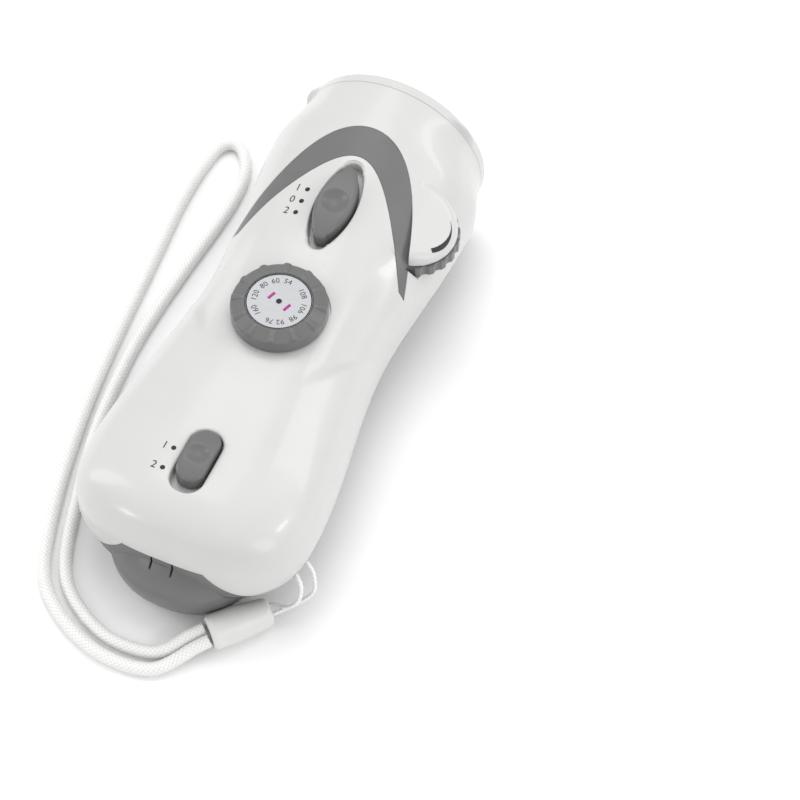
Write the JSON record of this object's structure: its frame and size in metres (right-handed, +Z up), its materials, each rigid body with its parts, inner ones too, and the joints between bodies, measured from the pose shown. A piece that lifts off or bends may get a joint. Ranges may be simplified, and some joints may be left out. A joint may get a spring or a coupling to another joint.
{
  "type": "hand crank flashlight",
  "caption": "Palm-sized wind-up torch with built-in radio: white and grey shells, tuning dial, slide switches, volume wheel, folding crank under the deck and a wrist cord.",
  "frame": {"origin": "centre of the bounding box on the plane it rests on, without the strap", "axes": "+Y from tail to lamp, +Z up through the tuning dial, +X to the side of the volume wheel"},
  "size_m": [0.0826, 0.1505, 0.046],
  "materials": {
    "white_plastic": "glossy moulded white",
    "grey_plastic": "satin moulded grey",
    "clear_lens": "polished clear",
    "mirror_plating": "vacuum plated mirror",
    "lamp_resin": "clear resin",
    "circuit_board": "solder mask",
    "steel": "bright steel",
    "brass": "turned",
    "gear_plastic": "natural acetal",
    "copper_wire": "enamelled winding",
    "magnet": "sintered",
    "black_plastic": "moulded",
    "cone_paper": "pressed paper",
    "cell_sleeve": "shrink sleeve",
    "wrap_film": "shrink film",
    "cream_plastic": "moulded",
    "blue_plastic": "moulded",
    "label_foil": "printed foil",
    "cover_rubber": "soft moulded",
    "strap_fabric": "shiny braid",
    "bead_plastic": "translucent white"
  },
  "bodies": {
    "housing": {"upper_shell": "white_plastic", "front_bezel": "white_plastic", "lower_shell": "grey_plastic", "accent_arc": "grey_plastic", "lens": "clear_lens", "reflector": "mirror_plating", "leds": "lamp_resin", "led_board": "circuit_board", "main_board": "circuit_board", "board_screws": "steel", "gear_pins": "steel", "gearbox_plate": "steel", "gearbox_screws": "steel", "dynamo_housing": "steel", "usb_socket": "steel", "housing_screws": "steel", "crank_bush": "brass", "dynamo_coil": "copper_wire", "antenna_coil": "copper_wire", "speaker_magnet": "magnet", "ferrite_rod": "magnet", "speaker_frame": "black_plastic", "light_switch_body": "black_plastic", "band_switch_body": "black_plastic", "speaker_cone": "cone_paper", "battery_cells": "cell_sleeve", "battery_wrap": "wrap_film", "tuning_capacitor": "cream_plastic", "volume_pot": "blue_plastic", "strap_cord": "strap_fabric", "strap_loop": "strap_fabric", "strap_bead": "bead_plastic"},
    "crank": {"crank_arm": "white_plastic", "crank_screw": "steel", "crank_shaft": "steel", "crank_gear": "gear_plastic", "knob_hinge_pin": "steel"},
    "spindle": {"knob_spindle": "steel"},
    "knob": {"crank_knob": "grey_plastic"},
    "idler_1": {"idler_gear_1": "gear_plastic"},
    "idler_2": {"idler_gear_2": "gear_plastic"},
    "rotor": {"dynamo_rotor": "magnet", "rotor_shaft": "steel"},
    "tuning": {"tuning_dial": "grey_plastic", "dial_label": "label_foil", "tuning_shaft": "brass"},
    "volume": {"volume_wheel": "grey_plastic", "wheel_screw": "steel"},
    "light_slider": {"light_switch_button": "grey_plastic"},
    "band_slider": {"band_switch_button": "grey_plastic"},
    "cover": {"port_cover": "cover_rubber"}
  },
  "joints": [
    {"name": "crank_turn", "type": "hinge", "parent": "housing", "child": "crank", "pos_m": [0, 0.001, 0.005], "axis": [0, 0, 1], "continuous": true},
    {"name": "idler_1_turn", "type": "hinge", "parent": "housing", "child": "idler_1", "pos_m": [-0.009, -0.011, 0.014], "axis": [0, 0, 1], "continuous": true},
    {"name": "idler_2_turn", "type": "hinge", "parent": "housing", "child": "idler_2", "pos_m": [0.00139, -0.017, 0.018], "axis": [0, 0, 1], "continuous": true},
    {"name": "rotor_turn", "type": "hinge", "parent": "housing", "child": "rotor", "pos_m": [0.01135, -0.00864, 0.018], "axis": [0, 0, 1], "continuous": true},
    {"name": "knob_fold", "type": "hinge", "parent": "crank", "child": "spindle", "pos_m": [0, -0.0295, 0.005], "axis": [-1, 0, 0], "range_deg": [0, 90]},
    {"name": "knob_spin", "type": "hinge", "parent": "spindle", "child": "knob", "pos_m": [0, -0.018, 0.005], "axis": [0, 1, 0], "continuous": true},
    {"name": "tuning_turn", "type": "hinge", "parent": "housing", "child": "tuning", "pos_m": [0, 0, 0.038], "axis": [0, 0, 1], "range_deg": [-85, 85]},
    {"name": "volume_turn", "type": "hinge", "parent": "housing", "child": "volume", "pos_m": [0.01798, 0.037, 0.03], "axis": [0, 0, 1], "range_deg": [0, 270]},
    {"name": "light_slide", "type": "slide", "parent": "housing", "child": "light_slider", "axis": [0, 0.9907, 0.1363], "range_m": [-0.0017, 0.0017]},
    {"name": "band_slide", "type": "slide", "parent": "housing", "child": "band_slider", "axis": [0, -1, 0], "range_m": [0, 0.0024]},
    {"name": "cover_swing", "type": "hinge", "parent": "housing", "child": "cover", "pos_m": [-0.0272, -0.024, 0.0184], "axis": [-0.1434, -0.9897, 0], "range_deg": [0, 100]}
  ],
  "couplings": [
    {"joint": "idler_1_turn", "follows": "crank_turn", "ratio": -4},
    {"joint": "idler_2_turn", "follows": "crank_turn", "ratio": 12},
    {"joint": "rotor_turn", "follows": "crank_turn", "ratio": -40}
  ]
}
